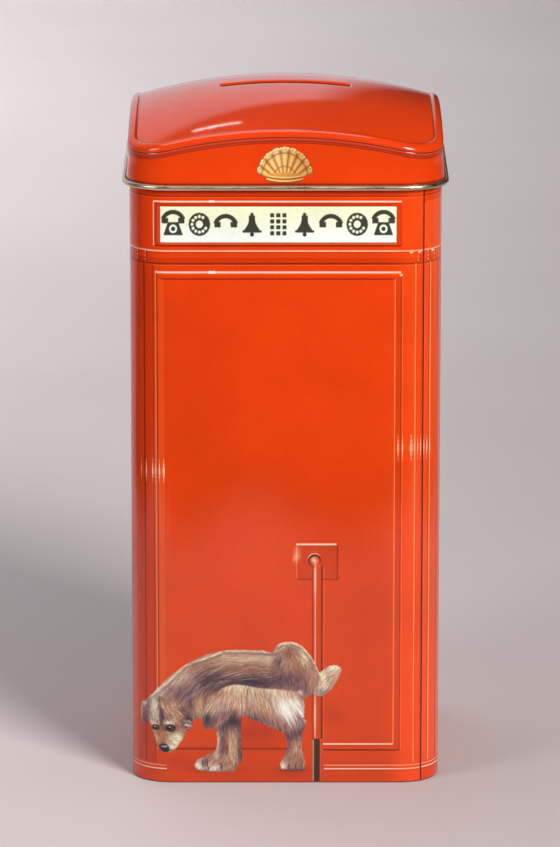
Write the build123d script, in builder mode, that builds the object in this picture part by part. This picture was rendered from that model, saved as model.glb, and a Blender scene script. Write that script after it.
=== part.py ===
"""A sheet-metal money box in the shape of a street telephone kiosk.

Three pressed pieces of tinplate: a square can body with rounded corners, a base panel that is
folded into the foot of the body, and a domed lid with a coin slot, which lifts straight off.
Sizes are in millimetres. The origin is the centre of the foot, +Z is up and the front faces -Y.
"""

import os
from math import cos, degrees, hypot, radians, sin, sqrt

from build123d import *

# Tinplate
SHEET = 0.25

# Can body, outside faces
BODY_WIDTH = 74.0
BODY_DEPTH = 74.0
CORNER_RADIUS = 9.5

# Side seam: the two edges of the body sheet are hooked together inside one corner bend
SEAM_ANGLE = 33.0  # round the front right corner, from the front face
SEAM_WIDTH = 3.6
SEAM_LAYERS = 2  # extra thicknesses of sheet, all on the inside
SEAM_LINE_WIDTH = 0.3
SEAM_LINE_DEPTH = 0.1

# Foot seam: the body sheet turns under and up again, round the skirt of the base panel
FOOT_GAP = 0.02  # between the folded layers
FOOT_BEND = 0.4  # outside radius of the turned edge
FOLD_BEND = 0.26  # outside radius where it turns up again
FOOT_FOLD_HEIGHT = 2.6
BASE_RISE = 4.2  # upper face of the base panel above the ground
BASE_BEND = 0.6  # outside radius where the base panel turns down
BASE_FIELD_SETBACK = 1.5  # from the centres of the corner bends out to the step of the base
BASE_FIELD_DROP = 0.6  # the field inside that step is pressed down by this much

# Lid
LID_CLEARANCE = 0.05  # between the body's faces and the inside of the lid
SEAT_CLEARANCE = 0.1  # between the body's top edge and the corners of the lid
CREST_Z = 165.2  # middle of the dome above the ground
LID_HEIGHT = 19.2  # from the middle of the dome down to the lowest point of the rolled edge
DOME_RADIUS = 128.0
RIM_WIDTH = 2.0  # raised rim round the dome
RIM_RISE = 0.3
RIM_EDGE_RADIUS = 1.1
CURL_RADIUS = 0.62
CURL_TURN = 285.0  # degrees of roll
FLARE = 0.45  # how far the wall swings out above the curl
FLARE_HEIGHT = 6.5

# Coin slot
SLOT_LENGTH = 31.0
SLOT_WIDTH = 3.8
SLOT_END_RADIUS = 0.8
SLOT_COLLAR_DEPTH = 1.3  # the edge of the slot is turned down by this much

CUT_MARGIN = 1.0  # how far a cutting shape runs past what it cuts

LID_OUTSET = LID_CLEARANCE + SHEET
LID_EDGE_Z = CREST_Z - LID_HEIGHT
LID_WALL_Z = LID_EDGE_Z + FLARE_HEIGHT  # the wall is straight from here up
DOME_CENTRE_Z = CREST_Z - DOME_RADIUS
# The dome is lowest at the corners, where it rests over the body's top edge
CORNER_REACH = (
    hypot(BODY_WIDTH / 2 - CORNER_RADIUS, BODY_DEPTH / 2 - CORNER_RADIUS)
    + CORNER_RADIUS
    + LID_CLEARANCE
)
LID_CORNER_Z = DOME_CENTRE_Z + sqrt((DOME_RADIUS + RIM_RISE - SHEET) ** 2 - CORNER_REACH**2)
BODY_TOP = LID_CORNER_Z - (RIM_EDGE_RADIUS - SHEET) - SEAT_CLEARANCE
BASE_SKIRT_INSET = SHEET + FOOT_GAP
FOOT_FOLD_INSET = BASE_SKIRT_INSET + SHEET + FOOT_GAP


def outline(outset, z):
    """A face with the body's plan, grown by outset, at height z."""
    with BuildSketch(Plane.XY.offset(z)) as plan:
        RectangleRounded(
            BODY_WIDTH + 2 * outset, BODY_DEPTH + 2 * outset, CORNER_RADIUS + outset
        )
    return plan.sketch


def carried_round(section):
    """The solid that a section makes when it is carried round the body's plan.

    The section is drawn flat, with X as the distance outward from the body's outer face and Y as
    the height. A quarter is half of the front, the corner and half of the side.
    """
    half_width, half_depth = BODY_WIDTH / 2, BODY_DEPTH / 2
    front = Plane(origin=(0, -half_depth, 0), x_dir=(0, -1, 0), z_dir=(-1, 0, 0))
    corner = Plane(
        origin=(half_width - CORNER_RADIUS, -half_depth, 0), x_dir=(0, -1, 0), z_dir=(-1, 0, 0)
    )
    side = Plane(
        origin=(half_width, CORNER_RADIUS - half_depth, 0), x_dir=(1, 0, 0), z_dir=(0, -1, 0)
    )
    corner_axis = Axis(
        (half_width - CORNER_RADIUS, CORNER_RADIUS - half_depth, 0), (0, 0, 1)
    )
    with BuildPart() as ring:
        extrude(front * section, amount=CORNER_RADIUS - half_width)
        revolve(corner * section, axis=corner_axis, revolution_arc=90)
        extrude(side * section, amount=CORNER_RADIUS - half_depth)
        mirror(about=Plane.YZ)
        mirror(about=Plane.XZ)
    return ring.part


def dome(outset, drop):
    """A block with the lid's plan and the dome's top, both moved inward by the sheet if asked.

    The rim round the top stands RIM_RISE above the dome and its outer edge is rounded. The inside
    of the sheet takes smaller radii, which keep its thickness even.
    """
    height = CREST_Z + CUT_MARGIN - LID_WALL_Z
    edge_radius = RIM_EDGE_RADIUS - drop
    rim_inset = RIM_WIDTH - LID_OUTSET - drop
    with BuildPart() as field:
        extrude(outline(-rim_inset, LID_WALL_Z), amount=height)
        with Locations((0, 0, DOME_CENTRE_Z)):
            Sphere(DOME_RADIUS - drop, rotation=(90, 0, 0), mode=Mode.SUBTRACT)
    with BuildPart() as block:
        extrude(outline(outset, LID_WALL_Z), amount=height)
        with Locations((0, 0, DOME_CENTRE_Z)):
            Sphere(DOME_RADIUS + RIM_RISE - drop, rotation=(90, 0, 0), mode=Mode.INTERSECT)
        top = block.faces().sort_by(Axis.Z)[-1]
        fillet(top.outer_wire().edges(), edge_radius)
        add(field.part, mode=Mode.SUBTRACT)
    return block.part


# Section of the body sheet: foot fold, foot, wall
with BuildSketch() as body_section:
    with BuildLine():
        wall_x = -SHEET / 2
        fold_x = -FOOT_FOLD_INSET - SHEET / 2
        FilletPolyline(
            (wall_x, BODY_TOP),
            (wall_x, SHEET / 2),
            (fold_x, SHEET / 2),
            (fold_x, FOOT_FOLD_HEIGHT),
            radius=[FOOT_BEND - SHEET / 2, FOLD_BEND - SHEET / 2],
        )
    trace(line_width=SHEET)

with BuildPart() as body_wall:
    add(carried_round(body_section.sketch))
    # the hooked layers of the side seam, from just above the base panel to the top edge
    seam_z = BASE_RISE + FOOT_GAP
    seam_centre = (BODY_WIDTH / 2 - CORNER_RADIUS, CORNER_RADIUS - BODY_DEPTH / 2)
    seam_radius = CORNER_RADIUS - SHEET - SEAM_LAYERS * SHEET / 2
    seam_half_angle = degrees(SEAM_WIDTH / 2 / seam_radius)
    with BuildSketch(Plane.XY.offset(seam_z)) as seam_layers:
        with BuildLine():
            CenterArc(
                seam_centre,
                seam_radius,
                SEAM_ANGLE - 90 - seam_half_angle,
                2 * seam_half_angle,
            )
        trace(line_width=SEAM_LAYERS * SHEET)
    extrude(amount=BODY_TOP - seam_z)
    # the line that the seam leaves on the outside
    line_angle = radians(SEAM_ANGLE - 90)
    line_plane = Plane(
        origin=(
            seam_centre[0] + CORNER_RADIUS * cos(line_angle),
            seam_centre[1] + CORNER_RADIUS * sin(line_angle),
            FOOT_BEND,
        ),
        x_dir=(cos(line_angle), sin(line_angle), 0),
        z_dir=(0, 0, 1),
    )
    with BuildSketch(line_plane):
        Rectangle(2 * SEAM_LINE_DEPTH, SEAM_LINE_WIDTH)
    extrude(amount=BODY_TOP, mode=Mode.SUBTRACT)
body_wall.part.label = "body_wall"

# Section of the base panel's skirt, up to the flat
skirt_foot_z = FOOT_BEND + FOOT_GAP
with BuildSketch() as base_section:
    with BuildLine():
        skirt_x = -BASE_SKIRT_INSET - SHEET / 2
        step_x = BASE_FIELD_SETBACK - CORNER_RADIUS
        margin_z = BASE_RISE - SHEET / 2
        FilletPolyline(
            (skirt_x, skirt_foot_z),
            (skirt_x, margin_z),
            (step_x, margin_z),
            (step_x - BASE_FIELD_DROP, margin_z - BASE_FIELD_DROP),
            (-CORNER_RADIUS, margin_z - BASE_FIELD_DROP),
            radius=[BASE_BEND - SHEET / 2, SHEET, SHEET],
        )
    trace(line_width=SHEET)

with BuildPart() as base_panel:
    add(carried_round(base_section.sketch))
    field_z = BASE_RISE - BASE_FIELD_DROP - SHEET
    with BuildSketch(Plane.XY.offset(field_z)):
        Rectangle(BODY_WIDTH - 2 * CORNER_RADIUS, BODY_DEPTH - 2 * CORNER_RADIUS)
    extrude(amount=SHEET)
base_panel.part.label = "base_panel"

# Section of the lid's wall: straight, a slight flare, then the edge rolled outward
with BuildSketch() as lid_section:
    with BuildLine():
        lid_x = LID_CLEARANCE + SHEET / 2
        roll_radius = CURL_RADIUS - SHEET / 2
        roll_z = LID_EDGE_Z + CURL_RADIUS
        middle_z = (LID_WALL_Z + roll_z) / 2
        Bezier(
            (lid_x, LID_WALL_Z),
            (lid_x, middle_z),
            (lid_x + FLARE, middle_z),
            (lid_x + FLARE, roll_z),
        )
        CenterArc((lid_x + FLARE + roll_radius, roll_z), roll_radius, 180, CURL_TURN)
    trace(line_width=SHEET)

# The turned-down edge of the coin slot follows the dome
with BuildPart() as slot_collar:
    with BuildSketch(Plane.XY.offset(LID_EDGE_Z)):
        RectangleRounded(
            SLOT_LENGTH + 2 * SHEET, SLOT_WIDTH + 2 * SHEET, SLOT_END_RADIUS + SHEET
        )
    extrude(amount=CREST_Z + CUT_MARGIN - LID_EDGE_Z)
    with Locations((0, 0, DOME_CENTRE_Z)):
        Sphere(DOME_RADIUS, rotation=(90, 0, 0), mode=Mode.INTERSECT)
        Sphere(DOME_RADIUS - SLOT_COLLAR_DEPTH, rotation=(90, 0, 0), mode=Mode.SUBTRACT)

with BuildPart() as lid:
    add(dome(LID_OUTSET, 0))
    add(dome(LID_CLEARANCE, SHEET), mode=Mode.SUBTRACT)
    add(carried_round(lid_section.sketch))
    add(slot_collar.part)
    with BuildSketch(Plane.XY.offset(LID_EDGE_Z)):
        RectangleRounded(SLOT_LENGTH, SLOT_WIDTH, SLOT_END_RADIUS)
    extrude(amount=CREST_Z + CUT_MARGIN - LID_EDGE_Z, mode=Mode.SUBTRACT)
lid.part.label = "lid"

os.makedirs("parts", exist_ok=True)
for piece in (body_wall, base_panel, lid):
    export_step(piece.part, f"parts/{piece.part.label}.step")
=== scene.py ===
"""A lithographed tin money box in the shape of a street telephone kiosk.

The CAD body and base stay. The body gets its printed skin, the lid gets a finer mesh, and both
get lacquer and tinplate. Lengths below are in millimetres, and become metres in build().
Across is measured round the body's outer face: 0 is the middle of the front, plus is to the
right, and each side with its corner is one PITCH further on.
"""

from math import cos, pi, radians, sin

import bpy
import numpy as np
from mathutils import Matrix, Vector


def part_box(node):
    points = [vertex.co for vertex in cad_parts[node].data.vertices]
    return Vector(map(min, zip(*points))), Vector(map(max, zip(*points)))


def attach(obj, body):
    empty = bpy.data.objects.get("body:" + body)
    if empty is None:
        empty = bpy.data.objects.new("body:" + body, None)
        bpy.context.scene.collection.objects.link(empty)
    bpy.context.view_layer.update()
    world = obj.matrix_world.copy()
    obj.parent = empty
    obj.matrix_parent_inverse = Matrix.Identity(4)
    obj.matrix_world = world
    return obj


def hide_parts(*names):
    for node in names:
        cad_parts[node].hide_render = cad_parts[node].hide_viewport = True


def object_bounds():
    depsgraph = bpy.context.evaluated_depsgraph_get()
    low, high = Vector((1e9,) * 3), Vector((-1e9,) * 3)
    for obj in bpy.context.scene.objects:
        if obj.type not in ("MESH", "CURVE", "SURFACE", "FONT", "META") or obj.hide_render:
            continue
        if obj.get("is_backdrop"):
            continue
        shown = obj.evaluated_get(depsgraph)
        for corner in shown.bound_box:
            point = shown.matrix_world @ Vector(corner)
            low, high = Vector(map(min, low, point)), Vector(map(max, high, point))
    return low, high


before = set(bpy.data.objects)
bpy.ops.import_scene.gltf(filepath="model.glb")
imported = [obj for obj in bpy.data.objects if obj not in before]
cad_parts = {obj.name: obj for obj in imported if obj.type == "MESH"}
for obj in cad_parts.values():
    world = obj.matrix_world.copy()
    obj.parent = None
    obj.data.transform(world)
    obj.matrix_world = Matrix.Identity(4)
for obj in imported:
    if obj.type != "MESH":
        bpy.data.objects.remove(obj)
CAD_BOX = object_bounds()
MM = 0.001

# Sizes that the CAD model has, in millimetres
HALF, _, BODY_TOP = np.array(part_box("body_wall")[1]) / MM
LID_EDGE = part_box("lid")[0][2] / MM
CORNER = 9.5
SHEET = 0.25
FLAT = HALF - CORNER
PITCH = 2 * FLAT + CORNER * pi / 2
FOOT_BEND = 0.4
SEAM = FLAT + CORNER * radians(33)
SEAM_LINE = 0.3
DOME_RADIUS = 128.0
CREST = LID_EDGE + 19.18
DOME_CENTRE = CREST - DOME_RADIUS
LID_OUTSET = 0.3
LID_INNER_OUTSET = 0.05
FLARE = 0.45
FLARE_TOP = LID_EDGE + 6.5
CURL_RADIUS = 0.62
CURL_TURN = 285  # degrees of roll
CURL_CENTRE = (1.12, LID_EDGE + CURL_RADIUS)
WALL_END = LID_EDGE + 0.65  # the wall passes into the roll here
SLOT = (31.0 / 2, 3.8 / 2, 0.8)  # half length, half width, corner radius
RIM_INNER = -1.7  # outset of the rim's inner edge
RIM_RISE = 0.3
SLOT_ROUND = 0.35  # radius of the slot's upper edge
SLOT_DEPTH = 1.3  # of its turned-down edge
SKIN_LIFT = 0.04  # the printed skin above the CAD wall
TUCKED_LIFT = 0.015  # the same under the lid, where there is little room
PATCH_LIFT = 0.065  # finely printed areas lie on the skin

# Inks, as display colours from 0 to 255
RED = (222, 61, 8)
BROWN_RED = (150, 38, 12)
DARK = (104, 26, 10)
LIT = (255, 204, 184)
SOFT_LIT = (246, 128, 78)
GLOW = (255, 176, 120)
WHITE = (240, 236, 226)


# ---------------------------------------------------------------- plan and surface

def plan_ring(across, half_x=HALF, half_y=HALF, radius=CORNER):
    """Points round a rounded rectangle that match those at `across` on the body's plan."""
    side = np.floor((across + FLAT) / PITCH).astype(int) % 4
    run = (across + FLAT) % PITCH
    share = np.clip(run / FLAT - 1, -1, 1)
    turn = np.clip((run - 2 * FLAT) / CORNER, 0, pi / 2)
    long_side = np.where(side % 2 == 0, half_x, half_y)
    deep_side = np.where(side % 2 == 0, half_y, half_x)
    x = share * (long_side - radius) + radius * np.sin(turn)
    y = -(deep_side - radius) - radius * np.cos(turn)
    for _ in range(3):
        x, y, side = np.where(side > 0, -y, x), np.where(side > 0, x, y), side - 1
    return np.stack([x, y], -1)


def on_body(across, outset):
    """Points at a distance outward from the body's outer face."""
    grown = HALF + outset
    return plan_ring(across, grown, grown, CORNER + outset)


def sphere_z(points, radius=DOME_RADIUS):
    return DOME_CENTRE + np.sqrt(radius**2 - (points**2).sum(-1))


def smooth(low, high, value):
    """0 below low, 1 above high, with a soft turn at both ends."""
    t = np.clip((value - low) / (high - low), 0, 1)
    return t * t * (3 - 2 * t)


def skirt_outset(z):
    """How far the lid's outer wall stands out from the body at height z."""
    return LID_OUTSET + FLARE * smooth(0, FLARE_TOP - CURL_CENTRE[1], FLARE_TOP - z)


def build(name, points, faces, colours=None, map_points=None):
    """A smooth mesh object from millimetre points, with optional point colours and bake map."""
    mesh = bpy.data.meshes.new(name)
    mesh.from_pydata((np.asarray(points) * MM).tolist(), [], np.asarray(faces).tolist())
    mesh.polygons.foreach_set("use_smooth", [True] * len(mesh.polygons))
    if colours is not None:
        rgb = np.clip(np.asarray(colours, float) / 255, 0, 1)
        linear = np.where(rgb < 0.04045, rgb / 12.92, ((rgb + 0.055) / 1.055) ** 2.4)
        rgba = np.concatenate([linear, np.ones((len(linear), 1))], 1)
        layer = mesh.color_attributes.new("Print", "FLOAT_COLOR", "POINT")
        layer.data.foreach_set("color", rgba.astype(np.float32).ravel())
    if map_points is not None:
        corner_vertex = np.zeros(len(mesh.loops), int)
        mesh.loops.foreach_get("vertex_index", corner_vertex)
        flat = np.asarray(map_points, float)
        flat = (flat - flat.min(0)) / np.ptp(flat, axis=0).max()
        layer = mesh.uv_layers.new(name="OFBake")
        layer.data.foreach_set("uv", flat[corner_vertex].astype(np.float32).ravel())
    mesh.update()
    piece = bpy.data.objects.new(name, mesh)
    bpy.context.scene.collection.objects.link(piece)
    return piece


def grid_faces(rows, columns, wrap=False):
    """Quads between neighbouring rows and columns. With wrap, the last column meets the first."""
    row, column = np.meshgrid(
        np.arange(rows - 1), np.arange(columns if wrap else columns - 1), indexing="ij"
    )
    after = (column + 1) % columns
    quads = [row * columns + column, row * columns + after]
    quads += [(row + 1) * columns + after, (row + 1) * columns + column]
    return np.stack(quads, -1).reshape(-1, 4)


# ---------------------------------------------------------------- painting

class Print:
    """A printed area: colours at the crossings of lines across and lines up."""

    def __init__(self, across, up, ground):
        self.across, self.up = across, up
        self.A, self.Z = np.meshgrid(across, up)
        self.rgb = np.zeros((*self.A.shape, 3)) + np.array(ground, float)
        self.cover = np.zeros(self.A.shape)

    def lay(self, colour, cover):
        cover = np.clip(cover, 0, 1)[..., None]
        self.rgb += cover * (np.asarray(colour, float) - self.rgb)
        self.cover = np.maximum(self.cover, cover[..., 0])

    def box(self, left, right, low, high, colour, strength=1.0, edge=0.05):
        """A rectangle with edges `edge` wide on each side of its outline."""
        across = np.minimum(self.A - left, right - self.A) / (2 * edge) + 0.5
        up = np.minimum(self.Z - low, high - self.Z) / (2 * edge) + 0.5
        self.lay(colour, np.clip(across, 0, 1) * np.clip(up, 0, 1) * strength)

    def line(self, points, width, colour, strength=1.0):
        """A soft stroke along straight pieces."""
        nearest = np.full(self.A.shape, 1e9)
        for (a0, z0), (a1, z1) in zip(points[:-1], points[1:]):
            run = (a1 - a0) ** 2 + (z1 - z0) ** 2
            t = np.clip(((self.A - a0) * (a1 - a0) + (self.Z - z0) * (z1 - z0)) / run, 0, 1)
            gap = np.hypot(self.A - a0 - t * (a1 - a0), self.Z - z0 - t * (z1 - z0))
            nearest = np.minimum(nearest, gap)
        self.lay(colour, smooth(width, width * 0.35, nearest) * strength)

    def spot(self, a, z, reach_a, reach_z, colour, strength=1.0):
        """A soft oval spot."""
        squared = ((self.A - a) / reach_a) ** 2 + ((self.Z - z) / reach_z) ** 2
        self.lay(colour, np.exp(-squared) * strength)


EDGE = 0.05  # half the width of a printed edge


class Bars:
    """Rectangles collected first, so that the grid can have a line at each of their edges."""

    def __init__(self):
        self.items = []

    def add(self, left, right, low, high, colour, strength=1.0):
        self.items.append((left, right, low, high, colour, strength))

    def level(self, z, thick, left, right, colour, strength=1.0):
        self.add(left, right, z - thick / 2, z + thick / 2, colour, strength)

    def upright(self, a, thick, low, high, colour, strength=1.0):
        self.add(a - thick / 2, a + thick / 2, low, high, colour, strength)

    def glints(self, z, half_height, rows):
        """Tapering bright stretches on upright mouldings: (place, width, strength) for each."""
        for place, width, strength in rows:
            for share, thin in ((1.0, 0.4), (0.6, 0.75), (0.28, 1.15)):
                reach = half_height * share
                self.upright(place, width * thin, z - reach, z + reach, LIT, strength * 0.6)

    def beads(self, places):
        """Small bright and dark beads where the band meets a corner."""
        for low in (128.75, 129.65, 130.55):
            for place in places:
                self.add(place, place + 0.3, low, low + 0.42, GLOW, 0.75)
                self.add(place + 0.42, place + 0.8, low - 0.1, low + 0.5, DARK, 0.55)

    def lines(self, low, high, step, first):
        """Grid lines from low to high: every step, and both sides of each edge."""
        own = [item[first + k] + s * EDGE for item in self.items for k in (0, 1) for s in (-1, 1)]
        even = np.linspace(low, high, int((high - low) / step) + 1)
        found = np.unique(np.round(np.concatenate([even, own, [low, high]]), 3))
        return found[(found >= low) & (found <= high)]

    def paint(self, area):
        for left, right, low, high, colour, strength in self.items:
            area.box(left, right, low, high, colour, strength, EDGE)


# Heights of the printed mouldings, the same on all four sides
PANEL_LOW, PANEL_HIGH = 133.3, 142.1
CORNICE = 144.45
FRAME_LOW, FRAME_HIGH = 132.5, 143.15
BAND_LIT, BAND_DARK = 131.25, 128.2
MAIN_HIGH, MAIN_INNER_HIGH = 126.1, 124.5
MAIN_LOW, MAIN_INNER_LOW = 8.3, 9.8
BASE_LINES = (4.45, 3.55)
CORNER_LOW, CORNER_HIGH = 5.0, 143.0  # the corner mouldings' ends
WINDOW_LOW, WINDOW_HIGH = 17.0, 121.5
PANE_ROWS, PANE_GAP = 8, 1.3
PANE_EDGES = ((-24.5, -18.2), (-17.0, 17.0), (18.2, 24.5))
PANEL_HALF = 27.2  # half the width of the name panel and the tall panel on the other sides


def pilaster(bars, middle):
    """The upright mouldings at the corner on the right of a side."""
    for offset, thick, colour, strength in (
        (3.6, 0.3, SOFT_LIT, 0.75), (6.7, 0.45, DARK, 0.75), (7.7, 0.35, SOFT_LIT, 0.6),
        (9.6, 0.4, SOFT_LIT, 0.65), (10.3, 0.35, BROWN_RED, 0.8), (13.6, 0.35, SOFT_LIT, 0.8),
    ):
        bars.upright(middle + FLAT + offset, thick, 5.5, BAND_DARK, colour, strength)


def name_panel(bars, left, right):
    """The pale panel over each side, in its frame."""
    bars.add(left - 1.5, right + 1.1, FRAME_LOW, FRAME_HIGH, BROWN_RED, 0.32)
    bars.level(FRAME_HIGH, 0.42, left - 1.6, right + 1.2, LIT, 0.95)
    bars.level(FRAME_HIGH - 0.36, 0.18, left - 1.4, right + 1.1, BROWN_RED, 0.5)
    bars.level(FRAME_LOW, 0.34, left - 1.4, right + 1.1, DARK, 0.75)
    bars.level(PANEL_LOW - 0.32, 0.2, left - 0.2, right + 0.2, SOFT_LIT, 0.7)
    bars.upright(left - 1.6, 0.34, FRAME_LOW, FRAME_HIGH, LIT, 0.75)
    bars.upright(left - 1.25, 0.2, FRAME_LOW, FRAME_HIGH - 0.3, BROWN_RED, 0.7)
    bars.upright(left - 0.45, 0.24, PANEL_LOW, PANEL_HIGH, SOFT_LIT, 0.45)
    bars.upright(right + 1.1, 0.3, FRAME_LOW, FRAME_HIGH - 0.6, BROWN_RED, 0.4)
    bars.add(left - 0.16, right + 0.16, PANEL_LOW - 0.16, PANEL_HIGH + 0.16, BROWN_RED, 0.8)


def main_frame(bars, left, right):
    """The frame of the tall panel: lit above and on the left, dark below and on the right."""
    bars.level(MAIN_HIGH, 0.46, left - 1.3, right + 1.5, LIT, 0.95)
    bars.level(MAIN_HIGH - 0.42, 0.2, left - 1.0, right + 1.3, SOFT_LIT, 0.35)
    bars.level(MAIN_INNER_HIGH, 0.3, left, right, DARK, 0.75)
    bars.add(left - 0.65, left + 0.8, MAIN_INNER_LOW, MAIN_INNER_HIGH, (236, 88, 34), 0.55)
    bars.upright(left - 1.22, 0.28, MAIN_LOW, MAIN_HIGH, SOFT_LIT, 0.8)
    bars.upright(left - 0.84, 0.26, MAIN_LOW, MAIN_HIGH - 0.5, DARK, 0.5)
    bars.upright(right + 0.05, 0.3, MAIN_INNER_LOW, MAIN_INNER_HIGH, SOFT_LIT, 0.85)
    bars.add(right + 0.25, right + 1.5, MAIN_LOW, MAIN_INNER_HIGH + 0.6, BROWN_RED, 0.26)
    bars.upright(right + 1.5, 0.28, MAIN_LOW, MAIN_HIGH - 0.5, DARK, 0.55)
    bars.upright(right + 1.85, 0.22, MAIN_LOW, MAIN_HIGH - 0.2, SOFT_LIT, 0.5)


def belts(bars, left, right):
    """The mouldings that run right round: a cornice under the lid and a band over the panel."""
    # painted shade: a faint darker band under the lid's rolled edge, down to the printed cornice
    # line
    bars.add(left, right, CORNICE, BODY_TOP + 1, BROWN_RED, 0.1)
    bars.level(CORNICE, 0.3, left, right, DARK, 0.6)
    bars.level(CORNICE - 0.3, 0.2, left, right, SOFT_LIT, 0.3)
    bars.level(BAND_LIT, 0.38, left, right, LIT, 0.8)
    bars.level(BAND_LIT - 0.34, 0.2, left, right, BROWN_RED, 0.5)
    bars.level(BAND_DARK + 1.15, 0.2, left, right, BROWN_RED, 0.55)
    bars.add(left, right, BAND_DARK, BAND_DARK + 1.1, BROWN_RED, 0.25)
    bars.level(BAND_DARK, 0.36, left, right, DARK, 0.8)
    bars.level(BAND_DARK - 0.42, 0.22, left, right, SOFT_LIT, 0.3)


def base_lines(bars, left, right, strength=1.0):
    upper, lower = BASE_LINES
    bars.level(upper, 0.2, left, right, LIT, 0.75 * strength)
    bars.level(lower, 0.3, left, right, LIT, 0.95 * strength)
    bars.level(lower - 0.36, 0.2, left, right, BROWN_RED, 0.6 * strength)


def glazing(bars, middle):
    """A printed window: three columns of panes, the middle one wide."""
    pitch = (WINDOW_HIGH - WINDOW_LOW) / PANE_ROWS
    for row in range(PANE_ROWS):
        foot = WINDOW_LOW + row * pitch
        head = foot + pitch - PANE_GAP
        for left, right in PANE_EDGES:
            a, b = middle + left, middle + right
            bars.add(a - 0.3, b + 0.3, foot - 0.3, head + 0.3, DARK, 0.85)
            bars.add(a, b, foot, head, (74, 84, 88))
            bars.add(a, b, head - 1.1, head, (40, 44, 48), 0.7)
            bars.add(a, a + 0.8, foot, head - 1.1, (44, 50, 54), 0.6)
            bars.level(foot - 0.5, 0.24, a - 0.3, b + 0.3, LIT, 0.75)
            bars.upright(b + 0.5, 0.22, foot - 0.3, head + 0.3, SOFT_LIT, 0.8)


def glass_sheen(area, middle):
    """A pale slanting reflection in waves across the panes."""
    pitch = (WINDOW_HIGH - WINDOW_LOW) / PANE_ROWS
    inside = np.abs(area.A - middle) < PANE_EDGES[-1][1]
    slant = (area.A - middle) * 0.55 - (area.Z - WINDOW_LOW)
    wave = 0.5 + 0.5 * np.sin(slant / 11.0 + 0.9)
    for row in range(PANE_ROWS):
        foot = WINDOW_LOW + row * pitch
        pane = inside & (area.Z > foot) & (area.Z < foot + pitch - 2.4)
        pane &= (area.rgb[..., 2] > 60) & (area.rgb[..., 0] < 120)
        area.lay((176, 190, 194), pane * smooth(0.35, 1, wave) * 0.55)


def skin(name, bars, left, right, add_details_and_painted_light):
    """A printed piece of the body's skin from left to right, from the foot to the top edge."""
    across = bars.lines(left, right, 1.2, 0)
    up = bars.lines(FOOT_BEND, BODY_TOP - 0.1, 2.0, 2)
    up = np.unique(np.append(up, [LID_EDGE - 0.5, LID_EDGE - 0.1]))
    area = Print(across, up, RED)
    bars.paint(area)
    add_details_and_painted_light(area)
    lift = np.where(area.Z < LID_EDGE - 0.3, SKIN_LIFT, TUCKED_LIFT)
    # each row has one lift, so that a row is one ring round the plan
    rows = [on_body(across, float(lift[k, 0])) for k in range(len(up))]
    points = np.concatenate([np.stack(rows), area.Z[..., None]], -1).reshape(-1, 3)
    flat = np.stack([area.A, area.Z], -1).reshape(-1, 2)
    return build(
        name, points, grid_faces(len(up), len(across)), area.rgb.reshape(-1, 3), flat
    )


def patch(name, area, outset=PATCH_LIFT, least=0.5):
    """A finely printed area as its own thin mesh, cut to where the print covers.

    The outset from the body's outer face is a number, or an array with one for each point.
    """
    base = on_body(area.A, 0.0)
    outward = on_body(area.A, 1.0) - base
    plan = base + outward * np.broadcast_to(outset, area.A.shape)[..., None]
    points = np.concatenate([plan, area.Z[..., None]], -1).reshape(-1, 3)
    faces = grid_faces(*area.A.shape)
    covered = area.cover.ravel() > least
    faces = faces[covered[faces].all(1)]
    used, faces = np.unique(faces, return_inverse=True)
    flat = np.stack([area.A, area.Z], -1).reshape(-1, 2)
    return build(
        name, points[used], faces.reshape(-1, 4), area.rgb.reshape(-1, 3)[used], flat[used]
    )


# ---------------------------------------------------------------- printed artwork

FRONT_LEFT, FRONT_RIGHT = -29.6, 26.2  # the tall panel and the name panel on the front


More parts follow.
